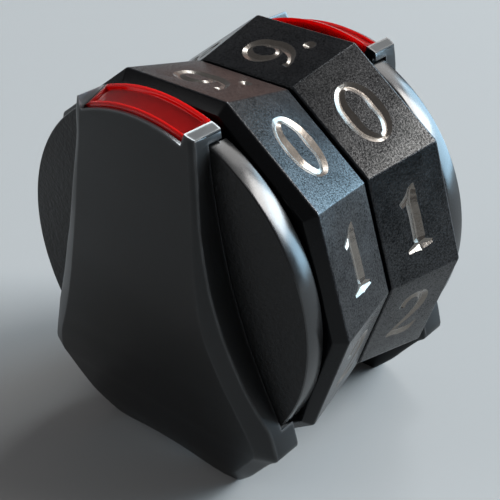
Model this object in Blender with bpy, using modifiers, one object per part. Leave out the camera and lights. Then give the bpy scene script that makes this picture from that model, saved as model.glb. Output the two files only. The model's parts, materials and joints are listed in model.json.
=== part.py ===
"""Life counter: two ten-sided number drums that click round on one fixed axle.

The drums are hourglass shaped and sit side by side between two round end plates. A
shield-shaped band covers each plate, wraps over its rim and carries the counter on its flat
foot. All sizes are in metres. The counter stands with the axle along X, the right drum at +X,
its front at -Y and its feet at z = 0.
"""
import math

import bmesh
import bpy
from mathutils import Matrix, Vector

MM = 0.001
RIGHT_ANGLE = math.pi / 2
HALF_TURN = math.pi
FULL_TURN = 2 * math.pi

# Drums: a ten-sided frustum each, widest at the outer end
DRUM_SIDES = 10
DRUM_CORNER_RADIUS = 20.0 * MM
WAIST_DROP = 1.96 * MM
DRUM_SHOULDER = 9.18 * MM
SEAM_HALF_GAP = 0.28 * MM
DRUM_END = 10.1 * MM
DRUM_END_DROP = 1.1 * MM

# Numerals, cut into the facets
NUMERAL_HEIGHT = 6.5 * MM
NUMERAL_DEPTH = 0.5 * MM
NUMERAL_DROP = 0.1 * MM
DOT_RADIUS = 0.62 * MM
DOT_ACROSS = 2.1 * MM
DOT_BELOW = 2.4 * MM
DOT_SHIFT = 0.6 * MM
NUMERAL_STEPS = 2
DOT_STEPS = 12

# Axle, bushes and washers
AXLE_RADIUS = 3.0 * MM
AXLE_SQUARE = 4.1 * MM
AXLE_ROUND_END = 9.0 * MM
AXLE_END = 11.2 * MM
RUNNING_GAP = 0.08 * MM
SEAT_GAP = 0.3 * MM
FIT_GAP = 0.1 * MM
BUSH_WALL = 1.2 * MM
HUB_FACE = 7.6 * MM
HUB_RECESS_DEPTH = 0.7 * MM
HUB_RECESS_GAP = 0.6 * MM
WASHER_RADIUS = 5.8 * MM
THRUST_WASHER_THICKNESS = 1.0 * MM

# Click work: ten notches round the drum's open end and a sprung arm that drops into them
NOTCH_DEPTH = 0.7 * MM
NOTCH_HALF_SHARE = 0.2
NOTCH_FLAT_SHARE = 0.35
SPRING_THICKNESS = 1.8 * MM
SPRING_ARM_WIDTH = 0.9 * MM
SPRING_EYE_RADIUS = 1.7 * MM
SPRING_EYE_GAP = 0.5 * MM
SPRING_RISE = 4.8 * MM
SPRING_SWEEP = math.radians(105)
NOSE_HALF_ANGLE = math.radians(4)
SPRING_ARM_STEPS = 10
SPRING_SCREW_RADIUS = 0.8 * MM
SPRING_SCREW_HEAD_RADIUS = 1.5 * MM
SPRING_SCREW_HEAD = 0.7 * MM
SPRING_SCREW_LENGTH = 3.6 * MM

# End plates
PLATE_INSET = 1.92 * MM
PLATE_BACK = 10.42 * MM
PLATE_FACE = 12.76 * MM
PLATE_EDGE_ROUND = 0.25 * MM
BOSS_RADIUS = 4.6 * MM
BOSS_HEIGHT = 1.2 * MM
PEG_RADIUS = 1.5 * MM
PEG_ORBIT = 9.0 * MM
PEG_LENGTH = 1.6 * MM
AXLE_SCREW_RADIUS = 1.25 * MM
AXLE_SCREW_HEAD_RADIUS = 2.7 * MM
AXLE_SCREW_HEAD = 1.1 * MM
AXLE_SCREW_LENGTH = 5.0 * MM
SCREW_SLOT_WIDTH = 0.6 * MM
SCREW_SLOT_DEPTH = 0.4 * MM
HEAD_OVERLAP = 0.1 * MM

# Bands: a shield outline with a bellied face, from the top down to the foot
BAND_BACK = 10.8 * MM
BAND_FACE = 16.4 * MM
BAND_WRAP = 1.0 * MM
BAND_WALL_FALL = 0.98 * MM
FOOT_CLEARANCE = 0.6 * MM
BAND_HALF_WIDTH = 15.8 * MM
FOOT_ARCH = 1.2 * MM
FOOT_PAD = 2.4 * MM

# Each row: height as a share of the foot drop, outer and face half widths as shares of the
# widest half width, edge and face places as shares of the band's full reach from the centre
BAND_ROW_SHARES = (
    (1.000, 0.440, 0.400, 0.845, 0.870),
    (0.800, 0.468, 0.427, 0.885, 0.897),
    (0.680, 0.480, 0.439, 0.893, 0.913),
    (0.500, 0.510, 0.464, 0.924, 0.938),
    (0.390, 0.535, 0.476, 0.937, 0.954),
    (0.290, 0.561, 0.489, 0.944, 0.971),
    (0.190, 0.590, 0.506, 0.950, 0.985),
    (0.100, 0.626, 0.526, 0.952, 0.994),
    (0.000, 0.667, 0.554, 0.950, 1.000),
    (-0.100, 0.715, 0.596, 0.943, 0.996),
    (-0.200, 0.770, 0.645, 0.934, 0.988),
    (-0.300, 0.830, 0.700, 0.922, 0.978),
    (-0.390, 0.887, 0.758, 0.901, 0.966),
    (-0.485, 0.950, 0.818, 0.876, 0.955),
    (-0.570, 0.985, 0.855, 0.873, 0.940),
    (-0.635, 1.000, 0.866, 0.870, 0.927),
    (-0.680, 0.940, 0.828, 0.866, 0.917),
    (-0.780, 0.835, 0.730, 0.854, 0.896),
    (-0.870, 0.745, 0.640, 0.835, 0.868),
    (-0.970, 0.625, 0.515, 0.800, 0.817),
    (-1.000, 0.585, 0.475, 0.780, 0.793),
)

# Red inserts: a channel-shaped arc let into the band's top
INSERT_HALF_WIDTH = 6.1 * MM
INSERT_FRONT = 13.95 * MM
INSERT_LIP_FRONT = 13.8 * MM
INSERT_LIP_FALL = 0.93 * MM
INSERT_DEPTH = 1.98 * MM
INSERT_LIP_WIDTH = 0.5 * MM
INSERT_CHANNEL = 0.35 * MM
NOTCH_FLOOR_DEPTH = 2.68 * MM

CUT_OVERRUN = 1.0 * MM
WELD_DISTANCE = 0.001 * MM
ROUND_STEPS = 64
SMALL_STEPS = 24

# Worked out from the sizes above
WAIST_CORNER_RADIUS = DRUM_CORNER_RADIUS - WAIST_DROP
DRUM_END_RADIUS = DRUM_CORNER_RADIUS - DRUM_END_DROP
PLATE_RADIUS = DRUM_CORNER_RADIUS - PLATE_INSET
NOTCH_FLOOR = PLATE_RADIUS - NOTCH_FLOOR_DEPTH
BAND_TOP = PLATE_RADIUS + BAND_WRAP
BAND_WALL_TOP = BAND_TOP - BAND_WALL_FALL
INSERT_LIP_RADIUS = BAND_TOP - INSERT_LIP_FALL
INSERT_BOTTOM = BAND_TOP - INSERT_DEPTH
FOOT_DROP = DRUM_CORNER_RADIUS + FOOT_CLEARANCE
AXLE_HEIGHT = FOOT_DROP
SPRING_EYE_ORBIT = WASHER_RADIUS + SPRING_EYE_RADIUS + SPRING_EYE_GAP
NOTCH_RING_RADIUS = SPRING_EYE_ORBIT + SPRING_RISE
FACET_ANGLE = FULL_TURN / DRUM_SIDES
FACET_APOTHEM_SHARE = math.cos(FACET_ANGLE / 2)
HUB_RECESS_RADIUS = WASHER_RADIUS + HUB_RECESS_GAP
SPRING_END = PLATE_BACK - FIT_GAP
SPRING_START = SPRING_END - SPRING_THICKNESS
SPRING_SCREW_TIP = SPRING_START + SPRING_SCREW_LENGTH
SCREW_SEAT = PLATE_FACE - AXLE_SCREW_HEAD - SEAT_GAP
CENTRE_WASHER_REACH = SEAM_HALF_GAP + HUB_RECESS_DEPTH - SEAT_GAP
BAND_TOP_HALF_WIDTH = BAND_ROW_SHARES[0][1] * BAND_HALF_WIDTH

# Turns a flat solid's X to up, its Y to the front and its Z along the axle
ALONG_AXLE = Matrix(((0, 0, 1, 0), (0, -1, 0, 0), (1, 0, 0, 0), (0, 0, 0, 1)))

# Outlines of the numerals: x and y as shares of the height, and 1 where the line runs smoothly
ZERO_SHARES = (
    ((0, .5, 1), (.27, .38, 1), (.385, 0, 1), (.27, -.38, 1),
     (0, -.5, 1), (-.27, -.38, 1), (-.385, 0, 1), (-.27, .38, 1)),
    ((0, .35, 1), (.12, .26, 1), (.17, 0, 1), (.12, -.26, 1),
     (0, -.35, 1), (-.12, -.26, 1), (-.17, 0, 1), (-.12, .26, 1)),
)
ONE_SHARES = (
    ((.10, .5, 0), (.09, -.28, 0), (.13, -.39, 1), (.25, -.44, 0), (.25, -.5, 0), (-.25, -.5, 0),
     (-.25, -.44, 0), (-.13, -.39, 1), (-.08, -.28, 0), (-.07, .22, 0), (-.25, .2, 0),
     (-.26, .27, 0), (-.04, .37, 1)),
)
TWO_SHARES = (
    ((-.20, .19, 0), (-.30, .22, 0), (-.27, .38, 1), (0, .5, 1), (.23, .41, 1), (.27, .22, 1),
     (.16, .0, 1), (-.08, -.33, 0), (.14, -.34, 1), (.25, -.22, 0), (.31, -.24, 0),
     (.27, -.5, 0), (-.33, -.5, 0), (-.33, -.43, 0), (-.06, -.14, 1), (.09, .10, 1),
     (.09, .29, 1), (-.02, .40, 1), (-.15, .32, 1)),
)
THREE_SHARES = (
    ((-.16, .24, 0), (-.27, .26, 0), (-.22, .42, 1), (0, .5, 1), (.21, .42, 1), (.24, .25, 1),
     (.10, .05, 0), (.26, -.08, 1), (.27, -.30, 1), (0, -.5, 1), (-.24, -.43, 1), (-.30, -.25, 0),
     (-.19, -.22, 0), (-.13, -.34, 1), (.02, -.38, 1), (.12, -.22, 1), (.03, -.05, 1),
     (-.10, -.03, 0), (-.10, .07, 0), (.05, .12, 1), (.10, .27, 1), (-.02, .39, 1),
     (-.12, .34, 1)),
)
FOUR_SHARES = (
    ((.06, .5, 0), (.16, .5, 0), (.16, -.10, 0), (.30, -.10, 0), (.30, -.24, 0), (.16, -.24, 0),
     (.16, -.42, 0), (.26, -.45, 0), (.26, -.5, 0), (-.12, -.5, 0), (-.12, -.45, 0),
     (-.02, -.42, 0), (-.02, -.24, 0), (-.34, -.24, 0), (-.34, -.15, 0)),
    ((-.02, -.10, 0), (-.02, .22, 0), (-.19, -.10, 0)),
)
FIVE_SHARES = (
    ((-.21, .5, 0), (.24, .5, 0), (.21, .35, 0), (-.10, .35, 0), (-.12, .16, 0), (.14, .12, 1),
     (.28, -.14, 1), (.20, -.40, 1), (-.04, -.5, 1), (-.26, -.42, 1), (-.30, -.26, 0),
     (-.19, -.24, 0), (-.12, -.35, 1), (.03, -.38, 1), (.11, -.15, 1), (.02, .02, 1),
     (-.14, .02, 1), (-.25, -.01, 0)),
)
SEVEN_SHARES = (
    ((-.29, .5, 0), (.29, .5, 0), (.29, .42, 0), (.10, .02, 1), (.04, -.5, 0), (-.16, -.5, 0),
     (-.10, -.12, 1), (.13, .34, 0), (-.14, .34, 1), (-.22, .22, 0), (-.29, .23, 0)),
)
EIGHT_SHARES = (
    ((0, .5, 1), (.20, .42, 1), (.23, .24, 1), (.12, .05, 1), (.27, -.12, 1), (.26, -.36, 1),
     (0, -.5, 1), (-.26, -.36, 1), (-.27, -.12, 1), (-.12, .05, 1), (-.23, .24, 1),
     (-.20, .42, 1)),
    ((0, .38, 1), (.09, .26, 1), (0, .13, 1), (-.09, .26, 1)),
    ((0, -.03, 1), (.12, -.21, 1), (0, -.38, 1), (-.12, -.21, 1)),
)
NINE_SHARES = (
    ((0, .49, 1), (.19, .41, 1), (.29, .21, 1), (.29, -.02, 1), (.20, -.25, 1), (-.04, -.45, 1),
     (-.23, -.49, 1), (-.26, -.42, 0), (-.07, -.34, 1), (.07, -.22, 1), (.12, -.10, 0),
     (-.03, -.15, 1), (-.24, -.06, 1), (-.31, .18, 1), (-.20, .41, 1)),
    ((-.03, .36, 1), (.09, .26, 1), (.10, .10, 1), (-.01, -.04, 1), (-.13, .05, 1),
     (-.15, .22, 1)),
)


def turned_over(outlines):
    """The outlines after half a turn about their middle."""
    return tuple(tuple((-x, -y, smooth) for x, y, smooth in line) for line in outlines)


NUMERALS = (ZERO_SHARES, ONE_SHARES, TWO_SHARES, THREE_SHARES, FOUR_SHARES, FIVE_SHARES,
            turned_over(NINE_SHARES), SEVEN_SHARES, EIGHT_SHARES, NINE_SHARES)
DOTTED = (6, 9)
TOP_NUMERAL = 9


def clear_scene():
    for thing in list(bpy.data.objects):
        bpy.data.objects.remove(thing, do_unlink=True)


def new_collection(name):
    group = bpy.data.collections.new(name)
    bpy.context.scene.collection.children.link(group)
    return group


def material(name, colour, roughness, metallic=0.0):
    finish = bpy.data.materials.new(name)
    finish.use_nodes = True
    shader = finish.node_tree.nodes["Principled BSDF"]
    shader.inputs["Base Color"].default_value = (*colour, 1.0)
    shader.inputs["Roughness"].default_value = roughness
    shader.inputs["Metallic"].default_value = metallic
    return finish


def add_piece(name, mesh, side, finish=None):
    """Link a mesh: a piece of the counter with a finish, or a cutter without one."""
    piece = bpy.data.objects.new(name, mesh)
    (PARTS if finish else CUTTERS).objects.link(piece)
    piece.parent = side
    if finish:
        mesh.materials.append(finish)
    else:
        piece.hide_render = True
        piece.display_type = "WIRE"
    return piece


def profile_mesh(name, profile, start=0.0):
    """Edges of a closed profile of (radius, place along the axle), to be turned about X."""
    shape = bmesh.new()
    corners = []
    for radius, place in reversed(profile):
        corners.append(shape.verts.new((place, radius * math.sin(start), radius * math.cos(start))))
    for here, there in zip(corners, corners[1:] + corners[:1]):
        shape.edges.new((here, there))
    mesh = bpy.data.meshes.new(name)
    shape.to_mesh(mesh)
    shape.free()
    return mesh


def turned(name, profile, side, finish=None, steps=ROUND_STEPS, start=0.0):
    """A ring turned about the axle. The profile runs towards +X on its outer side."""
    piece = add_piece(name, profile_mesh(name, profile, start), side, finish)
    screw = piece.modifiers.new("turn", "SCREW")
    screw.axis = "X"
    screw.angle = FULL_TURN
    screw.steps = steps
    screw.render_steps = steps
    screw.use_merge_vertices = True
    screw.merge_threshold = WELD_DISTANCE
    screw.use_smooth_shade = False
    return piece


def shaft_mesh(name, radius, start, end, steps=SMALL_STEPS, across=0.0, up=0.0):
    """A round bar along X from start to end, about a line set off from the axle."""
    shape = bmesh.new()
    place = Matrix.Translation(((start + end) / 2, across, up)) @ Matrix.Rotation(RIGHT_ANGLE, 4, "Y")
    bmesh.ops.create_cone(shape, cap_ends=True, segments=steps, radius1=radius, radius2=radius,
                          depth=end - start, matrix=place)
    mesh = bpy.data.meshes.new(name)
    shape.to_mesh(mesh)
    shape.free()
    return mesh


def box_mesh(name, low, high):
    shape = bmesh.new()
    low, high = Vector(low), Vector(high)
    sized = Matrix.Diagonal((*(high - low), 1.0))
    bmesh.ops.create_cube(shape, size=1.0, matrix=Matrix.Translation((low + high) / 2) @ sized)
    mesh = bpy.data.meshes.new(name)
    shape.to_mesh(mesh)
    shape.free()
    return mesh


def combine(piece, other, operation="DIFFERENCE"):
    step = piece.modifiers.new(other.name, "BOOLEAN")
    step.operation = operation
    step.solver = "EXACT"
    step.object = other


def soften(piece, width, segments=1):
    bevel = piece.modifiers.new("soft edges", "BEVEL")
    bevel.width = width
    bevel.segments = segments
    bevel.limit_method = "ANGLE"


def flow(points, steps):
    """A closed line through the points, smooth at those marked 1 and sharp at the others."""
    count = len(points)
    line = []
    for index, (x, y, smooth) in enumerate(points):
        here = Vector((x, y))
        before = Vector(points[index - 1][:2])
        after_x, after_y, after_smooth = points[(index + 1) % count]
        after = Vector((after_x, after_y))
        beyond = Vector(points[(index + 2) % count][:2])
        leave = (after - before) / 2 if smooth else after - here
        arrive = (beyond - here) / 2 if after_smooth else after - here
        pieces = steps if smooth or after_smooth else 1
        for step in range(pieces):
            t = step / pieces
            line.append(here * (2 * t ** 3 - 3 * t ** 2 + 1) + leave * (t ** 3 - 2 * t ** 2 + t)
                        + after * (3 * t ** 2 - 2 * t ** 3) + arrive * (t ** 3 - t ** 2))
    return line


def flat_solid(name, outlines, thickness):
    """A solid mesh between outlines in the XY plane, centred on it, holes left open."""
    curve = bpy.data.curves.new(name, "CURVE")
    curve.dimensions = "2D"
    curve.fill_mode = "BOTH"
    curve.extrude = thickness / 2
    for line in outlines:
        spline = curve.splines.new("POLY")
        spline.points.add(len(line) - 1)
        for point, place in zip(spline.points, line):
            point.co = (place[0], place[1], 0.0, 1.0)
        spline.use_cyclic_u = True
    drawing = bpy.data.objects.new(name, curve)
    CUTTERS.objects.link(drawing)
    mesh = bpy.data.meshes.new_from_object(drawing.evaluated_get(bpy.context.evaluated_depsgraph_get()))
    bpy.data.objects.remove(drawing, do_unlink=True)
    shape = bmesh.new()
    shape.from_mesh(mesh)
    bmesh.ops.remove_doubles(shape, verts=shape.verts, dist=WELD_DISTANCE)
    shape.to_mesh(mesh)
    shape.free()
    return mesh


def numeral_outlines(digit):
    """The numeral's outlines in metres, with the dot that tells a 6 from a 9."""
    shift = -DOT_SHIFT if digit in DOTTED else 0.0
    lines = []
    for outline in NUMERALS[digit]:
        line = flow(outline, NUMERAL_STEPS)
        lines.append([(p.x * NUMERAL_HEIGHT + shift, p.y * NUMERAL_HEIGHT) for p in line])
    if digit in DOTTED:
        turn = [FULL_TURN * step / DOT_STEPS for step in range(DOT_STEPS)]
        lines.append([(DOT_ACROSS + DOT_RADIUS * math.cos(a), DOT_RADIUS * math.sin(a) - DOT_BELOW)
                      for a in turn])
    return lines


def facet_frame(hand, index):
    """Where a facet's middle is, with x to the right, y up and z out of the facet."""
    angle = index * FACET_ANGLE
    outward = Vector((0, -math.sin(angle), math.cos(angle)))
    upward = Vector((0, math.cos(angle), math.sin(angle)))
    length = DRUM_SHOULDER - SEAM_HALF_GAP
    flare = (DRUM_CORNER_RADIUS - WAIST_CORNER_RADIUS) * FACET_APOTHEM_SHARE
    rightward = Vector((length, 0, 0)) + outward * flare * hand
    rightward.normalize()
    middle = outward * (DRUM_CORNER_RADIUS + WAIST_CORNER_RADIUS) / 2 * FACET_APOTHEM_SHARE
    middle.x = hand * (DRUM_SHOULDER + SEAM_HALF_GAP) / 2
    normal = rightward.cross(upward)
    frame = Matrix((rightward, upward, normal)).transposed().to_4x4()
    return Matrix.Translation(middle) @ frame


def numeral_cutter(name, hand):
    """All ten numerals of one drum, standing in its facets."""
    shape = bmesh.new()
    sink = Matrix.Translation((0, -NUMERAL_DROP, (CUT_OVERRUN - NUMERAL_DEPTH) / 2))
    for index in range(DRUM_SIDES):
        digit = (TOP_NUMERAL + index) % DRUM_SIDES
        mesh = flat_solid("numeral", numeral_outlines(digit), NUMERAL_DEPTH + CUT_OVERRUN)
        mesh.transform(facet_frame(hand, index) @ sink)
        shape.from_mesh(mesh)
        bpy.data.meshes.remove(mesh)
    mesh = bpy.data.meshes.new(name)
    shape.to_mesh(mesh)
    shape.free()
    return add_piece(name, mesh, COUNTER)


def notch_cutter(name, side):
    """The round opening in the drum's end, with a notch for each of its facets."""
    half_notch = NOTCH_HALF_SHARE * FACET_ANGLE
    half_flat = NOTCH_FLAT_SHARE * FACET_ANGLE
    outline = []
    for index in range(DRUM_SIDES):
        middle = index * FACET_ANGLE
        for turn, radius in ((-half_flat, NOTCH_RING_RADIUS),
                             (-half_notch, NOTCH_RING_RADIUS),
                             (0.0, NOTCH_RING_RADIUS + NOTCH_DEPTH),
                             (half_notch, NOTCH_RING_RADIUS),
                             (half_flat, NOTCH_RING_RADIUS)):
            outline.append((radius * math.cos(middle + turn), radius * math.sin(middle + turn)))
    depth = DRUM_END - HUB_FACE + CUT_OVERRUN
    mesh = flat_solid(name, [outline], depth)
    mesh.transform(Matrix.Translation((HUB_FACE + depth / 2, 0, 0)) @ ALONG_AXLE)
    return add_piece(name, mesh, side)


def drum(name, side, hand):
    """One number drum: a ten-sided frustum, its bore, its notched end and its numerals."""
    bore = AXLE_RADIUS + RUNNING_GAP + BUSH_WALL + FIT_GAP
    profile = [(bore, SEAM_HALF_GAP), (WAIST_CORNER_RADIUS, SEAM_HALF_GAP),
               (DRUM_CORNER_RADIUS, DRUM_SHOULDER), (DRUM_END_RADIUS, DRUM_END), (bore, DRUM_END)]
    body = turned(name, profile, side, DRUM_BLACK, steps=DRUM_SIDES, start=FACET_ANGLE / 2)
    hole = add_piece(name + "_bore", shaft_mesh(name + "_bore", bore, -CUT_OVERRUN,
                                                DRUM_END + CUT_OVERRUN, ROUND_STEPS), side)
    combine(body, hole)
    recess_end = SEAM_HALF_GAP + HUB_RECESS_DEPTH
    recess = add_piece(name + "_recess", shaft_mesh(name + "_recess", HUB_RECESS_RADIUS,
                                                    -CUT_OVERRUN, recess_end, ROUND_STEPS), side)
    combine(body, recess)
    combine(body, notch_cutter(name + "_notches", side))
    combine(body, numeral_cutter(name + "_numerals", hand))
    return body


def hub_bush(name, side):
    inner = AXLE_RADIUS + RUNNING_GAP
    start = SEAM_HALF_GAP + HUB_RECESS_DEPTH
    profile = [(inner, start), (inner + BUSH_WALL, start), (inner + BUSH_WALL, HUB_FACE),
               (inner, HUB_FACE)]
    return turned(name, profile, side, ACETAL, steps=SMALL_STEPS)


def washer(name, side, start, end):
    inner = AXLE_RADIUS + RUNNING_GAP
    profile = [(inner, start), (WASHER_RADIUS, start), (WASHER_RADIUS, end), (inner, end)]
    return turned(name, profile, side, ACETAL, steps=SMALL_STEPS)


def axle(name):
    """The fixed axle: round for the drums, square at its ends, tapped for the end screws."""
    bar = add_piece(name, shaft_mesh(name, AXLE_RADIUS, -AXLE_ROUND_END, AXLE_ROUND_END,
                                     SMALL_STEPS), COUNTER, STEEL)
    half = AXLE_SQUARE / 2
    square = add_piece(name + "_square", box_mesh(name + "_square", (-AXLE_END, -half, -half),
                                                  (AXLE_END, half, half)), COUNTER)
    combine(bar, square, "UNION")
    reach = AXLE_END + CUT_OVERRUN
    depth = AXLE_END - AXLE_SCREW_LENGTH
    hole_radius = AXLE_SCREW_RADIUS + FIT_GAP
    for end in (-1, 1):
        low, high = sorted((end * depth, end * reach))
        hole = add_piece(name + "_tapping", shaft_mesh(name + "_tapping", hole_radius, low, high),
                         COUNTER)
        combine(bar, hole)
    return bar



def screw(name, side, radius, head_radius, tip, under_head, head_end, across=0.0, up=0.0):
    """A slotted screw: shank and head joined, then the slot cut across the head."""
    inward = math.copysign(HEAD_OVERLAP, tip - under_head)
    low, high = sorted((tip, under_head - inward))
    body = add_piece(name, shaft_mesh(name, radius, low, high, SMALL_STEPS, across, up), side, STEEL)
    low, high = sorted((under_head, head_end))
    head = add_piece(name + "_head", shaft_mesh(name + "_head", head_radius, low, high,
                                                SMALL_STEPS, across, up), side)
    combine(body, head, "UNION")
    outward = math.copysign(1.0, head_end - under_head)
    low, high = sorted((head_end - outward * SCREW_SLOT_DEPTH, head_end + outward * CUT_OVERRUN))
    wide = head_radius + CUT_OVERRUN
    slot = add_piece(name + "_slot", box_mesh(name + "_slot",
                                              (low, across - wide, up - SCREW_SLOT_WIDTH / 2),
                                              (high, across + wide, up + SCREW_SLOT_WIDTH / 2)),
                     side)
    combine(body, slot)
    return body


def spring_eye():
    """Where the spring's screw stands, across and up from the axle."""
    return (SPRING_EYE_ORBIT * math.sin(SPRING_SWEEP), SPRING_EYE_ORBIT * math.cos(SPRING_SWEEP))


def click_spring(name, side):
    """A flat sprung arm: an eye, a bowed arm and a nose that rests in the top notch."""
    eye_y, eye_z = spring_eye()
    tip = NOTCH_RING_RADIUS + NOTCH_DEPTH - SEAT_GAP
    rest = NOTCH_RING_RADIUS - NOTCH_DEPTH - SEAT_GAP
    outer = []
    inner = []
    for step in range(SPRING_ARM_STEPS + 1):
        share = step / SPRING_ARM_STEPS
        angle = SPRING_SWEEP * (1 - share) + 2 * NOSE_HALF_ANGLE * share
        grow = math.sin(share * RIGHT_ANGLE)
        orbit = SPRING_EYE_ORBIT + (rest - SPRING_EYE_ORBIT) * grow
        outer.append((orbit, angle))
        inner.append((orbit - SPRING_ARM_WIDTH, angle))
    nose = [(tip, 0.0), (rest, -2 * NOSE_HALF_ANGLE), (rest - SPRING_ARM_WIDTH, -2 * NOSE_HALF_ANGLE)]
    outline = [(r * math.sin(a), r * math.cos(a)) for r, a in outer + nose + inner[::-1]]
    arm = flat_solid(name, [[(z, -y) for y, z in outline]], SPRING_THICKNESS)
    middle = (SPRING_START + SPRING_END) / 2
    arm.transform(Matrix.Translation((middle, 0, 0)) @ ALONG_AXLE)
    piece = add_piece(name, arm, side, STEEL)
    eye = add_piece(name + "_eye", shaft_mesh(name + "_eye", SPRING_EYE_RADIUS, SPRING_START,
                                              SPRING_END, SMALL_STEPS, eye_y, eye_z), side)
    combine(piece, eye, "UNION")
    clear = SPRING_SCREW_RADIUS + FIT_GAP
    hole = add_piece(name + "_hole", shaft_mesh(name + "_hole", clear, SPRING_START - CUT_OVERRUN,
                                                SPRING_END + CUT_OVERRUN, SMALL_STEPS, eye_y,
                                                eye_z), side)
    combine(piece, hole)
    return piece


def end_plate(name, side):
    """A round plate with a square socket for the axle and a notch under the band's top."""
    shelf = PLATE_BACK - BOSS_HEIGHT
    body = add_piece(name, shaft_mesh(name, PLATE_RADIUS, PLATE_BACK, PLATE_FACE, ROUND_STEPS),
                     side, PLATE_BLACK)
    soften(body, PLATE_EDGE_ROUND)
    boss = add_piece(name + "_boss", shaft_mesh(name + "_boss", BOSS_RADIUS, shelf,
                                                PLATE_BACK + CUT_OVERRUN, SMALL_STEPS), side)
    combine(body, boss, "UNION")
    half = AXLE_SQUARE / 2 + FIT_GAP
    socket = add_piece(name + "_socket", box_mesh(name + "_socket", (0, -half, -half),
                                                  (AXLE_END + FIT_GAP, half, half)), side)
    combine(body, socket)
    hole = add_piece(name + "_hole", shaft_mesh(name + "_hole", AXLE_SCREW_RADIUS + FIT_GAP,
                                                AXLE_END - CUT_OVERRUN, PLATE_FACE + CUT_OVERRUN),
                     side)
    seat = add_piece(name + "_seat", shaft_mesh(name + "_seat", AXLE_SCREW_HEAD_RADIUS + SEAT_GAP,
                                                SCREW_SEAT, PLATE_FACE + CUT_OVERRUN), side)
    combine(body, hole)
    combine(body, seat)
    eye_y, eye_z = spring_eye()
    tapping = add_piece(name + "_tapping", shaft_mesh(name + "_tapping",
                                                      SPRING_SCREW_RADIUS + FIT_GAP,
                                                      PLATE_BACK - CUT_OVERRUN,
                                                      SPRING_SCREW_TIP + SEAT_GAP, SMALL_STEPS,
                                                      eye_y, eye_z), side)
    combine(body, tapping)
    for up in (-PEG_ORBIT, PEG_ORBIT):
        peg_hole = add_piece(name + "_peg_hole", shaft_mesh(name + "_peg_hole",
                                                            PEG_RADIUS + FIT_GAP,
                                                            PLATE_FACE - PEG_LENGTH - SEAT_GAP,
                                                            PLATE_FACE + CUT_OVERRUN, SMALL_STEPS,
                                                            0.0, up), side)
        combine(body, peg_hole)
    half = BAND_TOP_HALF_WIDTH + SEAT_GAP
    notch = add_piece(name + "_notch", box_mesh(name + "_notch", (0, -half, NOTCH_FLOOR),
                                                (BAND_FACE, half, BAND_TOP)), side)
    combine(body, notch)
    return body


def band_rows():
    """The band's cross-sections from top to foot: height, half widths and places along X."""
    rows = []
    for height, outer, face, edge_place, face_place in BAND_ROW_SHARES:
        rows.append((height * FOOT_DROP, outer * BAND_HALF_WIDTH, face * BAND_HALF_WIDTH,
                     edge_place * BAND_FACE, face_place * BAND_FACE))
    return rows


def band_loft(name, side):
    """The shield lofted through its cross-sections, back to the wrap over the plate's rim."""
    shape = bmesh.new()
    rings = []
    for height, outer, face, edge_place, face_place in band_rows():
        section = ((BAND_BACK, -outer), (edge_place, -outer), (face_place, -face),
                   (face_place, face), (edge_place, outer), (BAND_BACK, outer))
        rings.append([shape.verts.new((x, y, height)) for x, y in section])
    for upper, lower in zip(rings, rings[1:]):
        for here in range(len(upper)):
            there = (here + 1) % len(upper)
            shape.faces.new((upper[here], lower[here], lower[there], upper[there]))
    shape.faces.new(rings[0])
    shape.faces.new(rings[-1][::-1])
    bmesh.ops.recalc_face_normals(shape, faces=shape.faces)
    mesh = bpy.data.meshes.new(name)
    shape.to_mesh(mesh)
    shape.free()
    return add_piece(name, mesh, side, BAND_BLACK)


def top_limit(name, side):
    """What lies above the band's rounded top, as a ring cut down to its upper half."""
    beyond = BAND_FACE + CUT_OVERRUN
    outside = FOOT_DROP + DRUM_CORNER_RADIUS
    profile = [(BAND_TOP, BAND_BACK - CUT_OVERRUN), (outside, BAND_BACK - CUT_OVERRUN),
               (outside, beyond), (BAND_TOP, beyond)]
    ring = turned(name, profile, side)
    reach = outside + CUT_OVERRUN
    half = add_piece(name + "_half", box_mesh(name + "_half", (0, -reach, BOSS_RADIUS),
                                              (beyond + CUT_OVERRUN, reach, reach)), side)
    combine(ring, half, "INTERSECT")
    return ring


def room_profile():
    """The section of the room for the red insert, and of the space over the wall before it."""
    floor = INSERT_BOTTOM - SEAT_GAP
    back = BAND_BACK - CUT_OVERRUN
    above = BAND_TOP + CUT_OVERRUN
    beyond = BAND_FACE + CUT_OVERRUN
    return [(floor, back), (above, back), (above, beyond), (BAND_WALL_TOP, beyond),
            (BAND_WALL_TOP, INSERT_FRONT + FIT_GAP), (floor, INSERT_FRONT + FIT_GAP)]


def insert_profile():
    """The red insert's section, channelled along its top between two lips."""
    slope = (INSERT_LIP_RADIUS - BAND_TOP) / (INSERT_LIP_FRONT - BAND_BACK)
    back = BAND_BACK + INSERT_LIP_WIDTH
    front = INSERT_LIP_FRONT - INSERT_LIP_WIDTH
    back_radius = BAND_TOP + slope * INSERT_LIP_WIDTH
    front_radius = INSERT_LIP_RADIUS - slope * INSERT_LIP_WIDTH
    return [(INSERT_BOTTOM, BAND_BACK), (BAND_TOP, BAND_BACK), (back_radius, back),
            (back_radius - INSERT_CHANNEL, back + INSERT_CHANNEL / 2),
            (front_radius - INSERT_CHANNEL, front - INSERT_CHANNEL / 2), (front_radius, front),
            (INSERT_LIP_RADIUS, INSERT_LIP_FRONT), (INSERT_LIP_RADIUS - INSERT_CHANNEL, INSERT_FRONT),
            (INSERT_BOTTOM, INSERT_FRONT)]


def top_sector(name, profile, half_width, side, finish=None):
    """The part of a ring that lies at the top, between two upright planes."""
    ring = turned(name, profile, side, finish, steps=2 * ROUND_STEPS)
    reach = BAND_TOP + 2 * CUT_OVERRUN
    wedge = add_piece(name + "_wedge", box_mesh(name + "_wedge", (0, -half_width, BOSS_RADIUS),
                                                (BAND_FACE, half_width, reach)), side)
    combine(ring, wedge, "INTERSECT")
    return ring


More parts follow.
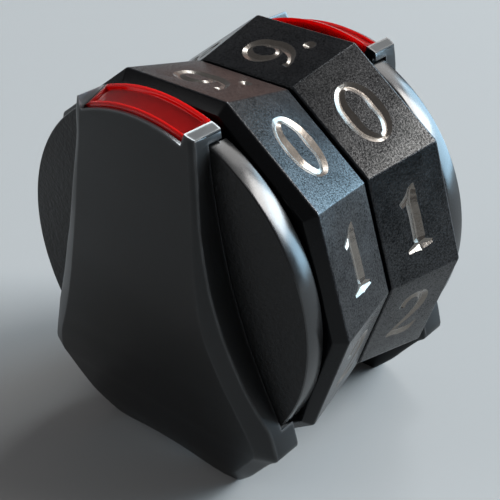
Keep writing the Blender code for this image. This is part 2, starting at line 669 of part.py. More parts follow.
def band(name, side):
    """One shield-shaped band with its pegs, its foot and the room for its red insert."""
    body = band_loft(name, side)
    rim = add_piece(name + "_rim", shaft_mesh(name + "_rim", PLATE_RADIUS + SEAT_GAP,
                                              BAND_BACK - CUT_OVERRUN, PLATE_FACE + FIT_GAP,
                                              ROUND_STEPS), side)
    half = BAND_TOP_HALF_WIDTH
    keep = add_piece(name + "_keep", box_mesh(name + "_keep", (0, -half, NOTCH_FLOOR + SEAT_GAP),
                                              (BAND_FACE, half, BAND_TOP + CUT_OVERRUN)), side)
    combine(rim, keep)
    combine(body, rim)
    combine(body, top_limit(name + "_top", side))
    room = top_sector(name + "_room", room_profile(), INSERT_HALF_WIDTH + FIT_GAP, side)
    combine(body, room)
    start = PLATE_FACE - PEG_LENGTH
    for up in (-PEG_ORBIT, PEG_ORBIT):
        peg = add_piece(name + "_peg", shaft_mesh(name + "_peg", PEG_RADIUS, start,
                                                  PLATE_FACE + CUT_OVERRUN, SMALL_STEPS, 0.0, up),
                        side)
        combine(body, peg, "UNION")
    pad = BAND_ROW_SHARES[-1][1] * BAND_HALF_WIDTH - FOOT_PAD
    arch_radius = (pad ** 2 + FOOT_ARCH ** 2) / (2 * FOOT_ARCH)
    arch = add_piece(name + "_arch", shaft_mesh(name + "_arch", arch_radius, BAND_BACK - CUT_OVERRUN,
                                                BAND_FACE, 2 * ROUND_STEPS, 0.0,
                                                -FOOT_DROP + FOOT_ARCH - arch_radius), side)
    combine(body, arch)
    return body


def red_insert(name, side):
    return top_sector(name, insert_profile(), INSERT_HALF_WIDTH, side, RED)


def build_side(hand, word):
    """Everything on one side of the counter's middle."""
    side = bpy.data.objects.new(word + "_side", None)
    PARTS.objects.link(side)
    side.parent = COUNTER
    side.rotation_euler = (0, 0, 0 if hand > 0 else HALF_TURN)
    drum("drum_" + word, side, hand)
    hub_bush("hub_bush_" + word, side)
    washer_start = HUB_FACE + SEAT_GAP
    washer("thrust_washer_" + word, side, washer_start, washer_start + THRUST_WASHER_THICKNESS)
    end_plate("end_plate_" + word, side)
    screw("axle_screw_" + word, side, AXLE_SCREW_RADIUS, AXLE_SCREW_HEAD_RADIUS,
          AXLE_END - AXLE_SCREW_LENGTH + SEAT_GAP, SCREW_SEAT + FIT_GAP,
          SCREW_SEAT + FIT_GAP + AXLE_SCREW_HEAD)
    click_spring("click_spring_" + word, side)
    eye_y, eye_z = spring_eye()
    under_head = SPRING_START - FIT_GAP
    screw("spring_screw_" + word, side, SPRING_SCREW_RADIUS, SPRING_SCREW_HEAD_RADIUS,
          SPRING_SCREW_TIP, under_head, under_head - SPRING_SCREW_HEAD, eye_y, eye_z)
    band("band_" + word, side)
    red_insert("insert_" + word, side)


clear_scene()
PARTS = new_collection("life_counter")
CUTTERS = new_collection("cutters")
COUNTER = bpy.data.objects.new("counter", None)
PARTS.objects.link(COUNTER)
COUNTER.location = (0, 0, AXLE_HEIGHT)

DRUM_BLACK = material("drum black", (0.035, 0.037, 0.042), 0.42)
PLATE_BLACK = material("plate black", (0.02, 0.02, 0.02), 0.6)
BAND_BLACK = material("band black", (0.03, 0.03, 0.031), 0.4)
RED = material("clear red", (0.55, 0.02, 0.015), 0.15)
STEEL = material("steel", (0.6, 0.6, 0.62), 0.3, 1.0)
ACETAL = material("white acetal", (0.8, 0.8, 0.76), 0.4)

axle("axle")
washer("centre_washer", COUNTER, -CENTRE_WASHER_REACH, CENTRE_WASHER_REACH)
build_side(1, "right")
build_side(-1, "left")
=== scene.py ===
"""The look of a two-drum life counter, built round its packed construction.

Each operator makes one kind of piece: the number drums with their carved numerals, the end
plates, the shield-shaped bands, the red inserts, the finish of the inner works, and the stage.
Lengths are in metres. The axle runs along X and the counter's front looks along -Y.
"""
import json
import math

import bmesh
import bpy
from mathutils import Matrix, Vector


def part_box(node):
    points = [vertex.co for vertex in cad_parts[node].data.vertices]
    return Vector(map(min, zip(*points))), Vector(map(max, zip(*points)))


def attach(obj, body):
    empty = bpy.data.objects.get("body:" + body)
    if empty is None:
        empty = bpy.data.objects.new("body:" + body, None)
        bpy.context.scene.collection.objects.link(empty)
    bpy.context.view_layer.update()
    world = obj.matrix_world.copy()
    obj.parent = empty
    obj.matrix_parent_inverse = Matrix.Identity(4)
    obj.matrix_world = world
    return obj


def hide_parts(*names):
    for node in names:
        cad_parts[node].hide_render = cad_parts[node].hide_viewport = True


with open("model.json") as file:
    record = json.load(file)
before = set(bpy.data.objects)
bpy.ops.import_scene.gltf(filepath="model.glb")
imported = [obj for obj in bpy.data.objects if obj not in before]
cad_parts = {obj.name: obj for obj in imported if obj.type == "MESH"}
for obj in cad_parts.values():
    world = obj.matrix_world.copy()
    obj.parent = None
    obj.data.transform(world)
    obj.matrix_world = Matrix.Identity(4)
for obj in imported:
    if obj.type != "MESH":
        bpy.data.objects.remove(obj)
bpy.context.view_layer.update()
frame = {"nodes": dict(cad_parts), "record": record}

bl_info = {
    "name": "Life Counter Looks",
    "version": (1, 0, 0),
    "blender": (4, 5, 0),
    "location": "3D View > Sidebar > Counter",
    "description": "Dresses the pieces of a two-drum life counter and sets its stage",
    "category": "Object",
}

MM = 0.001
RIGHT_ANGLE = math.pi / 2
FULL_TURN = 2 * math.pi

# Each hand is its side along X, and has its word
WORDS = {-1: "left", 1: "right"}

# What the frame says of the pieces on the right; the left ones match them, mirrored along X
DRUM_LOW, DRUM_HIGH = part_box("drum_right")
PLATE_LOW, PLATE_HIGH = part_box("end_plate_right")
BAND_LOW, BAND_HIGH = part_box("band_right")
_, INSERT_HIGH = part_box("insert_right")
AXLE_HEIGHT = (DRUM_LOW.z + DRUM_HIGH.z) / 2
CORNER_RADIUS = (DRUM_HIGH.y - DRUM_LOW.y) / 2
AXLE_POINT = (0.0, 0.0, AXLE_HEIGHT)

DRUM_SIDES = 10
FACET_ANGLE = FULL_TURN / DRUM_SIDES
APOTHEM_SHARE = math.cos(FACET_ANGLE / 2)
TOP_NUMERAL = 9
DOTTED_NUMERALS = (6, 9)
DOT_PLACE_SHARES = (0.335, -0.372, 0.1)

# The least share along the axle of a normal that looks along it, and of one on a drum's end
AXIAL_SHARE = 0.95
END_SHARE = 0.4

# How finely round things are divided
ROUND_SIDES = 64
RIM_SIDES = 160
ARCH_SIDES = 256
DOT_SIDES = 32
ARC_STEPS = 40
STROKE_STEPS = 9
NOTCH_STEPS = 4
EDGE_SEGMENTS = 3
ROWS_BETWEEN = 3

# Points closer together than this are joined
WELD = 0.001 * MM

# A point closer than this to one of the band's rows belongs to it
NEAR = 0.03 * MM

# Edges sharper than the first angle are softened, and those flatter than the second are smooth
DRUM_SOFTENED, DRUM_SMOOTH = math.radians(15), math.radians(8)
PLATE_SOFTENED, PLATE_SMOOTH = math.radians(30), math.radians(25)
BAND_SOFTENED, BAND_SMOOTH = math.radians(13), math.radians(24)
INSERT_SOFTENED, INSERT_SMOOTH = math.radians(30), math.radians(20)

# Each numeral is carved as strokes. A stroke is closed or not, and its points are x, y and half
# width, as shares of the numeral's height
NINE_SHARES = (
    (True, ((-.11, .43, .066), (.05, .35, .09), (.10, .16, .10), (.03, -.03, .055),
            (-.12, -.10, .055), (-.27, .0, .082), (-.325, .16, .096), (-.265, .34, .086))),
    (False, ((.095, .20, .10), (.12, .06, .105), (.10, -.10, .10), (.03, -.25, .078),
             (-.10, -.365, .05), (-.22, -.415, .045), (-.30, -.40, .058))),
)
STROKE_SHARES = {
    0: ((True, ((0, .458, .056), (.178, .345, .088), (.252, 0, .118), (.178, -.345, .088),
                (0, -.458, .056), (-.178, -.345, .088), (-.252, 0, .118), (-.178, .345, .088))),),
    1: ((False, ((.085, .52, .012), (.04, .44, .08), (0, .33, .112), (0, 0, .116),
                 (0, -.32, .12), (0, -.44, .06))),
        (False, ((.03, .42, .07), (-.10, .32, .06), (-.225, .26, .045))),
        (False, ((-.25, -.455, .03), (-.12, -.435, .062), (0, -.415, .1), (.12, -.435, .062),
                 (.25, -.455, .03)))),
    2: ((False, ((-.235, .22, .07), (-.20, .37, .066), (-.02, .455, .056), (.17, .36, .1),
                 (.20, .18, .108), (.09, -.02, .075), (-.10, -.20, .048), (-.29, -.38, .03))),
        (False, ((-.30, -.405, .035), (-.16, -.37, .075), (.02, -.405, .085), (.19, -.40, .072),
                 (.30, -.27, .018)))),
    3: ((False, ((-.225, .27, .07), (-.14, .41, .055), (.01, .458, .052), (.16, .36, .094),
                 (.15, .18, .082), (.0, .05, .03))),
        (False, ((-.04, .055, .026), (.10, .02, .055), (.205, -.17, .112), (.14, -.37, .08),
                 (-.02, -.455, .052), (-.17, -.42, .056), (-.245, -.29, .076)))),
    4: ((False, ((.08, .46, .036), (-.13, .12, .044), (-.30, -.165, .034))),
        (False, ((-.33, -.185, .03), (0, -.185, .044), (.29, -.185, .04))),
        (False, ((.105, .50, .012), (.10, .40, .085), (.10, 0, .108), (.10, -.36, .112),
                 (.10, -.45, .06))),
        (False, ((-.10, -.458, .026), (.10, -.43, .06), (.30, -.458, .026)))),
    5: ((False, ((-.21, .41, .04), (.0, .415, .078), (.16, .425, .06), (.25, .47, .016))),
        (False, ((-.19, .42, .036), (-.205, .24, .034), (-.215, .07, .028))),
        (False, ((-.215, .065, .028), (-.08, .14, .05), (.09, .11, .085), (.195, -.08, .112),
                 (.16, -.30, .092), (.0, -.445, .056), (-.15, -.44, .054),
                 (-.24, -.31, .074)))),
    7: ((False, ((-.29, .26, .016), (-.25, .38, .05), (-.08, .405, .09), (.10, .40, .068),
                 (.28, .455, .028))),
        (False, ((.27, .45, .03), (.15, .23, .05), (.02, -.03, .088), (-.05, -.28, .118),
                 (-.06, -.42, .11), (-.05, -.49, .03)))),
    8: ((True, ((0, .462, .052), (.15, .38, .076), (.155, .18, .076), (0, .055, .048),
                (-.155, .18, .076), (-.15, .38, .076))),
        (True, ((0, .025, .05), (.18, -.09, .088), (.205, -.29, .1), (0, -.458, .056),
                (-.205, -.29, .1), (-.18, -.09, .088)))),
    9: NINE_SHARES,
    6: tuple((closed, tuple((-x, -y, half) for x, y, half in points))
             for closed, points in NINE_SHARES),
}

# The band from top to foot: height, outer half width, face half width, the edge's place along
# the axle and the face's, as shares of the foot's drop, the widest half width and the reach
BAND_ROW_SHARES = (
    (1.000, 0.440, 0.400, 0.845, 0.870),
    (0.800, 0.468, 0.427, 0.885, 0.897),
    (0.680, 0.480, 0.439, 0.893, 0.913),
    (0.500, 0.510, 0.464, 0.924, 0.938),
    (0.390, 0.535, 0.476, 0.937, 0.954),
    (0.290, 0.561, 0.489, 0.944, 0.971),
    (0.190, 0.590, 0.506, 0.950, 0.985),
    (0.100, 0.626, 0.526, 0.952, 0.994),
    (0.000, 0.667, 0.554, 0.950, 1.000),
    (-0.100, 0.715, 0.596, 0.943, 0.996),
    (-0.200, 0.770, 0.645, 0.934, 0.988),
    (-0.300, 0.830, 0.700, 0.922, 0.978),
    (-0.390, 0.887, 0.758, 0.901, 0.966),
    (-0.485, 0.950, 0.818, 0.876, 0.955),
    (-0.570, 0.985, 0.855, 0.873, 0.940),
    (-0.635, 1.000, 0.866, 0.870, 0.927),
    (-0.680, 0.940, 0.828, 0.866, 0.917),
    (-0.780, 0.835, 0.730, 0.854, 0.896),
    (-0.870, 0.745, 0.640, 0.835, 0.868),
    (-0.970, 0.625, 0.515, 0.800, 0.817),
    (-1.000, 0.585, 0.475, 0.780, 0.793),
)
FACE_SHARE = 0.7
TOP_SHARE = BAND_ROW_SHARES[0][1]
FOOT_SHARE = BAND_ROW_SHARES[-1][1]

# The chamfers on the band's top corners: the tilt outward and how far they cut the corner back
CORNER_CUTS = ((math.radians(36), 0.1 * MM), (math.radians(48), 0.22 * MM),
               (math.radians(64), 0.2 * MM))

# The carving's section, in half widths of its stroke, from the right edge to the left
GROOVE_SHARES = ((1.25, 0.25), (0.12, -0.88), (-0.12, -0.88), (-1.25, 0.25))

# The shared effects' noises, each with its detail and roughness, and their other values
SPECKLE = (3.0, 0.6)
MOTTLE = (3.0, 0.5)
SMUDGE = (4.0, 0.62)
WEAR_BREAKUP = (4.0, 0.65)
MOTTLE_SHARE = 0.08
WEAR_SAMPLES = 6
WEAR_CONTRAST = 2.0

# The camera's sensor in millimetres, its least distance and its shift as shares of the picture
SENSOR_WIDTH = 36.0
CLIP_START = 1.0 * MM
SHIFT_X = -0.098
SHIFT_Y = 0.106

LAMP_DISTANCE = 2.5

# Each lamp: name, direction from the counter, width as a share of its distance, radiance, colour
LAMPS = (
    ("key_lamp", (0.62, -0.53, 0.58), 0.48, 14.0, (1.0, 0.98, 0.96)),
    ("window_lamp", (0.84, -0.48, 0.26), 0.80, 9.0, (0.50, 0.78, 1.0)),
    ("upper_lamp", (0.70, 0.05, 0.70), 0.52, 3.2, (1.0, 0.98, 0.96)),
    ("ear_lamp", (0.63, 0.21, 0.75), 0.17, 12.0, (0.82, 0.93, 1.0)),
    ("top_lamp", (0.38, -0.40, 0.83), 0.40, 0.8, (1.0, 0.96, 0.92)),
    ("back_lamp", (0.80, 0.53, 0.26), 0.40, 0.35, (1.0, 0.55, 0.42)),
    ("side_lamp", (-0.75, 0.55, 0.36), 0.50, 1.6, (0.95, 0.97, 1.0)),
)


def length(name, description, default):
    """A length that a user can change."""
    return bpy.props.FloatProperty(name=name, description=description, default=default,
                                   unit="LENGTH", subtype="DISTANCE", precision=5)


def vector(name, description, subtype, default):
    """A place or a direction that a user can change."""
    return bpy.props.FloatVectorProperty(name=name, description=description, default=default,
                                         subtype=subtype, size=3)


def colour(name, description, default):
    """A colour that a user can change."""
    return bpy.props.FloatVectorProperty(name=name, description=description, default=default,
                                         subtype="COLOR", size=3, min=0, max=1)


class DrumSizes(bpy.types.PropertyGroup):
    corner_radius: length("Corner radius", "From the axle to a corner at the shoulder",
                          CORNER_RADIUS)
    waist_drop: length("Waist drop", "How much lower the corners are at the seam", 1.96 * MM)
    seam_half_gap: length("Seam half gap", "From the middle to a drum", DRUM_LOW.x)
    shoulder: length("Shoulder", "Where the drum is widest", 9.18 * MM)
    end: length("End", "The drum's outer end", DRUM_HIGH.x)
    end_drop: length("End drop", "How much the end's corners are drawn in", 1.1 * MM)
    edge_round: length("Edge round", "Width of the softened edges", 0.16 * MM)
    bore_radius: length("Bore radius", "The bore for the bush", 4.38 * MM)
    recess_radius: length("Recess radius", "The washer's recess at the seam", 6.4 * MM)
    recess_depth: length("Recess depth", "How deep that recess is", 0.7 * MM)
    ring_radius: length("Click ring radius", "The opening, clear of the spring", 13.35 * MM)
    ring_floor: length("Click ring floor", "Where that opening ends", 7.6 * MM)
    notch_depth: length("Notch depth", "How deep a click notch is", 0.7 * MM)
    numeral_height: length("Numeral height", "Height of a numeral", 6.5 * MM)
    carving_slope: bpy.props.FloatProperty(
        name="Carving slope", description="Slope of the carving's walls", default=0.42, min=0.1,
        max=1)


class PlateSizes(bpy.types.PropertyGroup):
    radius: length("Radius", "The plate's rim", (PLATE_HIGH.y - PLATE_LOW.y) / 2)
    back: length("Back", "The plate's inner face", 10.42 * MM)
    face: length("Face", "The plate's outer face", PLATE_HIGH.x)
    edge_round: length("Edge round", "Width of the rim's softened edges", 0.25 * MM)
    boss_radius: length("Boss radius", "The boss round the axle's end", 4.6 * MM)
    boss_height: length("Boss height", "How far the boss stands inward", 1.2 * MM)
    socket_width: length("Socket width", "The square socket for the axle", 4.3 * MM)
    socket_end: length("Socket end", "Where the socket ends", 11.3 * MM)
    hole_radius: length("Hole radius", "The axle screw's hole", 1.35 * MM)
    seat_radius: length("Seat radius", "The seat of the axle screw's head", 3.0 * MM)
    seat_depth: length("Seat depth", "How deep that seat is", 1.4 * MM)
    peg_hole_radius: length("Peg hole radius", "The holes for the band's pegs", 1.6 * MM)
    notch_floor: length("Notch floor", "The notch for the band's top, over the axle", 15.4 * MM)


class BandSizes(bpy.types.PropertyGroup):
    back: length("Back", "The band's inner reach", BAND_LOW.x + 0.36 * MM)
    reach: length("Reach", "The face's furthest point", BAND_HIGH.x)
    half_width: length("Half width", "Half of the widest place", (BAND_HIGH.y - BAND_LOW.y) / 2)
    drop: length("Drop", "From the axle to the foot", AXLE_HEIGHT)
    top: length("Top", "Radius of the rounded top", 19.08 * MM)
    top_half_width: length("Top half width", "Half of the round top's width", 7.5 * MM)
    wall_top: length("Wall top", "Radius of the low wall before the insert", 17.9 * MM)
    edge_round: length("Edge round", "Width of the softened edges", 0.3 * MM)
    seat_gap: length("Seat gap", "Room left between pieces", 0.3 * MM)
    fit_gap: length("Fit gap", "Room left between pieces that touch", 0.1 * MM)
    peg_radius: length("Peg radius", "The pegs that hold the band", 1.5 * MM)
    peg_orbit: length("Peg orbit", "The pegs' distance from the axle", 9.0 * MM)
    peg_length: length("Peg length", "How far the pegs reach into the plate", 1.6 * MM)
    foot_arch: length("Foot arch", "How high the foot is arched", 1.2 * MM)
    foot_pad: length("Foot pad", "Width of the flat pads", 2.4 * MM)


class InsertSizes(bpy.types.PropertyGroup):
    front_width: length("Front width", "From the middle to its front end", INSERT_HIGH.y)
    back_width: length("Back width", "From the middle to its back end", INSERT_HIGH.y + 0.7 * MM)
    bottom: length("Bottom", "Radius of the underside", 17.1 * MM)
    front: length("Front", "Where the insert ends", INSERT_HIGH.x + 0.15 * MM)
    front_radius: length("Front radius", "Radius of the front lip", 18.15 * MM)
    lip_width: length("Lip width", "Width of the lips", 0.42 * MM)
    channel: length("Channel", "Depth of the channel", 0.32 * MM)
    edge_round: length("Edge round", "Width of the softened edges", 0.12 * MM)


class Finishes(bpy.types.PropertyGroup):
    drum: colour("Drum", "Black of the drums", (0.0032, 0.0034, 0.004))
    # The lighter bluish grey along the drums' sharp edges: partly bare metal where worn, partly a
    # painted highlight standing in for the edges' glints
    drum_wear: colour("Drum wear", "Metal that shows at worn edges", (0.1, 0.105, 0.115))
    paint: colour("Numeral paint", "Pale metallic filling of the numerals", (0.22, 0.193, 0.168))
    plate: colour("Plate", "Black of the end plates", (0.005, 0.0049, 0.005))
    band: colour("Band", "Dark grey of the bands", (0.0048, 0.005, 0.0053))
    red: colour("Red", "Clear red of the inserts", (0.29, 0.0022, 0.0018))
    steel: colour("Steel", "Axle, springs and screws", (0.58, 0.58, 0.6))
    acetal: colour("Acetal", "Bushes and washers", (0.6, 0.59, 0.56))
    floor: colour("Floor", "The table top", (0.42, 0.417, 0.41))
    surroundings: colour("Surroundings", "The light from all round", (0.14, 0.144, 0.15))


class StageSizes(bpy.types.PropertyGroup):
    camera_place: vector("Camera place", "Where the camera stands", "TRANSLATION",
                         (-69.22 * MM, -62.28 * MM, 55.1 * MM + AXLE_HEIGHT))
    camera_turn: vector("Camera direction", "The way the camera looks", "DIRECTION",
                        (0.64164, 0.51388, -0.56940))
    camera_up: vector("Camera up", "The picture's upward direction", "DIRECTION",
                      (0.43954, 0.36203, 0.82203))
    lens: bpy.props.FloatProperty(name="Lens", description="Focal length in millimetres",
                                  default=74.47, subtype="DISTANCE_CAMERA")
    floor_width: length("Floor width", "Width of the table top", 3.0)


# Selecting and shaping


def deselect_all():
    """Leave edit mode and select nothing."""
    if bpy.context.mode != "OBJECT":
        bpy.ops.object.mode_set(mode="OBJECT")
    bpy.ops.object.select_all(action="DESELECT")


def pick(piece):
    """Select one piece alone and make it active."""
    deselect_all()
    piece.select_set(True)
    bpy.context.view_layer.objects.active = piece


def settle(piece):
    """Put a piece's place, turn and scale into its mesh."""
    pick(piece)
    bpy.ops.object.transform_apply(location=True, rotation=True, scale=True)
    return piece


def seat(name):
    """Name the piece just added and settle it."""
    piece = bpy.context.object
    piece.name = name
    piece.data.name = name
    return settle(piece)


def choose(piece, test, kind="FACE"):
    """In edit mode, select just the faces or points whose place and normal pass a test."""
    bpy.ops.mesh.select_mode(type=kind)
    bpy.ops.mesh.select_all(action="DESELECT")
    shape = bmesh.from_edit_mesh(piece.data)
    if kind == "FACE":
        for face in shape.faces:
            face.select_set(bool(test(face.calc_center_median(), face.normal)))
    else:
        for point in shape.verts:
            point.select_set(bool(test(point.co, point.normal)))
    shape.select_flush_mode()
    bmesh.update_edit_mesh(piece.data)


def edit(piece):
    """Open one piece in edit mode."""
    pick(piece)
    bpy.ops.object.mode_set(mode="EDIT")


def swell(factor):
    """In edit mode, scale what is selected away from the axle's line."""
    bpy.ops.transform.resize(value=(1, factor, factor), center_override=AXLE_POINT)


def weld():
    """In edit mode, join the points that lie on one another."""
    bpy.ops.mesh.select_all(action="SELECT")
    bpy.ops.mesh.remove_doubles(threshold=WELD)


def slice_all(place, normal, **options):
    """In edit mode, slice the whole piece along a plane."""
    bpy.ops.mesh.select_all(action="SELECT")
    bpy.ops.mesh.bisect(plane_co=place, plane_no=normal, **options)


def from_axle(place):
    """Distance of a place from the axle's line."""
    return math.hypot(place.y, place.z - AXLE_HEIGHT)


def apply_step(piece, step):
    """Apply a modifier; it is kept from the view meanwhile, so it is worked out only once."""
    step.show_viewport = False
    pick(piece)
    bpy.ops.object.modifier_apply(modifier=step.name)


def cut(piece, cutter, operation="DIFFERENCE", tangled=False):
    """Cut a piece with a cutter, which is then removed; the cut takes the cutter's finish."""
    step = piece.modifiers.new("cut", "BOOLEAN")
    step.operation = operation
    step.solver = "EXACT"
    step.use_self = tangled
    step.material_mode = "TRANSFER"
    step.object = cutter
    apply_step(piece, step)
    bpy.data.objects.remove(cutter, do_unlink=True)


def soften(piece, width, least_angle):
    """Round the edges that are sharper than an angle."""
    step = piece.modifiers.new("soft edges", "BEVEL")
    step.width = width
    step.segments = EDGE_SEGMENTS
    step.limit_method = "ANGLE"
    step.angle_limit = least_angle
    step.use_clamp_overlap = True
    apply_step(piece, step)


def shade(piece, angle):
    """Shade smooth over the edges that are flatter than an angle."""
    pick(piece)
    bpy.ops.object.shade_smooth_by_angle(angle=angle)


def shaft(name, radius, hand, start, end, up=0.0, sides=ROUND_SIDES):
    """A round bar along the axle's direction, from start to end on one hand's side."""
    bpy.ops.mesh.primitive_cylinder_add(
        vertices=sides, radius=radius, depth=end - start, end_fill_type="NGON",
        location=(hand * (start + end) / 2, 0, AXLE_HEIGHT + up), rotation=(0, RIGHT_ANGLE, 0))
    return seat(name)


def block(name, low, high):
    """A box between two corners, given from the axle's middle."""
    low = Vector(low) + Vector(AXLE_POINT)
    high = Vector(high) + Vector(AXLE_POINT)
    bpy.ops.mesh.primitive_cube_add(size=1, location=(low + high) / 2,
                                    scale=[abs(side) for side in high - low])
    return seat(name)


def dress(piece, *makers):
    """Give a piece just the materials that some functions make."""
    piece.data.materials.clear()
    for maker in makers:
        piece.data.materials.append(material(maker))


# Drums


def drum_blank(sizes, hand):
    """The ten-sided drum: a waist at the seam, a shoulder and a drawn-in end."""
    waist = sizes.corner_radius - sizes.waist_drop
    piece = shaft("number_drum_" + WORDS[hand], waist, hand, sizes.seam_half_gap,
                  sizes.shoulder, sides=DRUM_SIDES)
    edit(piece)
    choose(piece, lambda place, normal: normal.x * hand > AXIAL_SHARE)
    swell(sizes.corner_radius / waist)
    bpy.ops.mesh.extrude_region_move(
        TRANSFORM_OT_translate={"value": (hand * (sizes.end - sizes.shoulder), 0, 0)})
    swell((sizes.corner_radius - sizes.end_drop) / sizes.corner_radius)
    deselect_all()
    soften(piece, sizes.edge_round, DRUM_SOFTENED)
    return piece


def click_ring(sizes, hand, overrun):
    """The cutter for the drum's open end, with a notch to each facet."""
    ring = shaft("click_ring", sizes.ring_radius, hand, sizes.ring_floor,
                 sizes.end + overrun, sides=NOTCH_STEPS * DRUM_SIDES)
    edit(ring)

    def at_notch(place, normal):
        steps = math.atan2(place.y, place.z - AXLE_HEIGHT) / FACET_ANGLE * NOTCH_STEPS
        return round(steps) % NOTCH_STEPS == 0

    choose(ring, at_notch, "VERT")
    swell(1 + sizes.notch_depth / sizes.ring_radius)
    deselect_all()
    return ring


def facet_frame(sizes, hand, index):
    """Where a facet's middle is, with x to the right, y up and z out of the facet."""
    angle = index * FACET_ANGLE
    outward = Vector((0, -math.sin(angle), math.cos(angle)))
    upward = Vector((0, math.cos(angle), math.sin(angle)))
    flare = sizes.waist_drop * APOTHEM_SHARE
    rightward = Vector((sizes.shoulder - sizes.seam_half_gap, 0, 0)) + outward * flare * hand
    rightward.normalize()
    middle = outward * (sizes.corner_radius - sizes.waist_drop / 2) * APOTHEM_SHARE
    middle.x = hand * (sizes.shoulder + sizes.seam_half_gap) / 2
    turned = Matrix((rightward, upward, rightward.cross(upward))).transposed().to_4x4()
    return Matrix.Translation(middle + Vector(AXLE_POINT)) @ turned


def groove_section(sizes):
    """The outline that the carving follows: sloping walls and a flat floor."""
    line = bpy.data.curves.new("groove_section", "CURVE")
    outline = line.splines.new("POLY")
    outline.points.add(len(GROOVE_SHARES) - 1)
    for point, (x, y) in zip(outline.points, GROOVE_SHARES):
        point.co = (x * sizes.numeral_height, y * sizes.numeral_height, 0, 1)
    outline.use_cyclic_u = True
    return bpy.data.objects.new("groove_section", line)


def carving(sizes, digit):
    """The strokes of one numeral as one cutter, lying flat."""
    section = groove_section(sizes)
    line = bpy.data.curves.new("carving", "CURVE")
    line.dimensions = "3D"
    line.twist_mode = "Z_UP"
    line.bevel_mode = "OBJECT"
    line.bevel_object = section
    line.use_fill_caps = True
    line.resolution_u = STROKE_STEPS
    for closed, points in STROKE_SHARES[digit]:
        stroke = line.splines.new("BEZIER")
        stroke.bezier_points.add(len(points) - 1)
        for point, (x, y, half) in zip(stroke.bezier_points, points):
            point.co = (x * sizes.numeral_height, y * sizes.numeral_height, 0)
            point.radius = half
            point.handle_left_type = "AUTO"
            point.handle_right_type = "AUTO"
        stroke.use_cyclic_u = closed
    piece = bpy.data.objects.new("carving", line)
    bpy.context.scene.collection.objects.link(piece)
    pick(piece)
    bpy.ops.object.convert(target="MESH")
    bpy.data.objects.remove(section)
    edit(piece)
    weld()
    deselect_all()
    dress(piece, numeral_paint)
    return piece


def dot(sizes):
    """The cutter for the dot that tells a 6 from a 9."""
    x, y, half = (share * sizes.numeral_height for share in DOT_PLACE_SHARES)
    (top, high), (floor, low) = GROOVE_SHARES[:2]
    bpy.ops.mesh.primitive_cone_add(
        vertices=DOT_SIDES, radius1=floor * half, radius2=top * half, depth=(high - low) * half,
        end_fill_type="NGON", location=(x, y, (high + low) / 2 * half))
    piece = seat("dot")
    dress(piece, numeral_paint)
    return piece


def stand_in_facet(piece, sizes, hand, index):
    """Put a cutter that lies flat at the origin into its facet."""
    flatter = Matrix.Diagonal((1, 1, sizes.carving_slope, 1))
    piece.matrix_world = facet_frame(sizes, hand, index) @ flatter
    return settle(piece)


def make_drum(sizes, hand):
    """One number drum, carved and hollowed."""
    overrun = sizes.end_drop
    piece = drum_blank(sizes, hand)
    dress(piece, drum_black)
    cut(piece, shaft("bore", sizes.bore_radius, hand, -overrun, sizes.end + overrun))
    cut(piece, shaft("recess", sizes.recess_radius, hand, -overrun,
                     sizes.seam_half_gap + sizes.recess_depth))
    cut(piece, click_ring(sizes, hand, overrun))
    for index in range(DRUM_SIDES):
        digit = (TOP_NUMERAL + index) % DRUM_SIDES
        cut(piece, stand_in_facet(carving(sizes, digit), sizes, hand, index), tangled=True)
        if digit in DOTTED_NUMERALS:
            cut(piece, stand_in_facet(dot(sizes), sizes, hand, index))
    # The ends take a darker, less shiny copy of the black, as painted shade for the gap beside
    # the plate
    end_index = len(piece.data.materials)
    piece.data.materials.append(material(drum_end_black))
    for face in piece.data.polygons:
        if face.normal.x * hand > END_SHARE and not face.material_index:
            face.material_index = end_index
    shade(piece, DRUM_SMOOTH)
    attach(piece, WORDS[hand] + "_drum")
    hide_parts("drum_" + WORDS[hand])
    return piece


# End plates


def make_plate(sizes, hand):
    """One round plate: grained face, polished rim, and all that is cut into it."""
    word = WORDS[hand]
    overrun = sizes.boss_height
    piece = shaft("side_plate_" + word, sizes.radius, hand, sizes.back, sizes.face,
                  sides=RIM_SIDES)
    soften(piece, sizes.edge_round, PLATE_SOFTENED)
    cut(piece, shaft("boss", sizes.boss_radius, hand, sizes.back - sizes.boss_height,
                     sizes.back + overrun), "UNION")
    half = sizes.socket_width / 2
    cut(piece, block("socket", (0, -half, -half), (hand * sizes.socket_end, half, half)))
    beyond = sizes.face + overrun
    cut(piece, shaft("hole", sizes.hole_radius, hand, sizes.socket_end - overrun, beyond))
    cut(piece, shaft("head_seat", sizes.seat_radius, hand, sizes.face - sizes.seat_depth,
                     beyond))
    band = bpy.context.scene.counter_band
    depth = band.peg_length + band.seat_gap
    for up in (-band.peg_orbit, band.peg_orbit):
        cut(piece, shaft("peg_hole", sizes.peg_hole_radius, hand, sizes.face - depth, beyond,
                         up=up))
    half = TOP_SHARE * band.half_width + band.seat_gap
    cut(piece, block("notch", (0, -half, sizes.notch_floor),
                     (hand * band.reach, half, sizes.radius + overrun)))
    dress(piece, plate_grain, plate_rim)
    for face in piece.data.polygons:
        away = from_axle(face.center) > sizes.radius - 2 * sizes.edge_round
        face.material_index = int(away and abs(face.normal.x) < AXIAL_SHARE)
    shade(piece, PLATE_SMOOTH)
    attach(piece, "frame")
    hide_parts("end_plate_" + word)
    return piece


# Bands


def smooth_rows(rows):
    """The rows with others flowed in between them, weighted as in a Catmull-Rom curve."""
    flowed = []
    last = len(rows) - 1
    for index in range(last):
        around = [rows[max(0, min(last, index + shift))] for shift in (-1, 0, 1, 2)]
        for step in range(ROWS_BETWEEN):
            t = step / ROWS_BETWEEN
            weights = ((-t + 2 * t ** 2 - t ** 3) / 2, (2 - 5 * t ** 2 + 3 * t ** 3) / 2,
                       (t + 4 * t ** 2 - 3 * t ** 3) / 2, (t ** 3 - t ** 2) / 2)
            flowed.append(tuple(sum(w * row[column] for w, row in zip(weights, around))
                                for column in range(len(rows[0]))))
    flowed.append(rows[last])
    return flowed


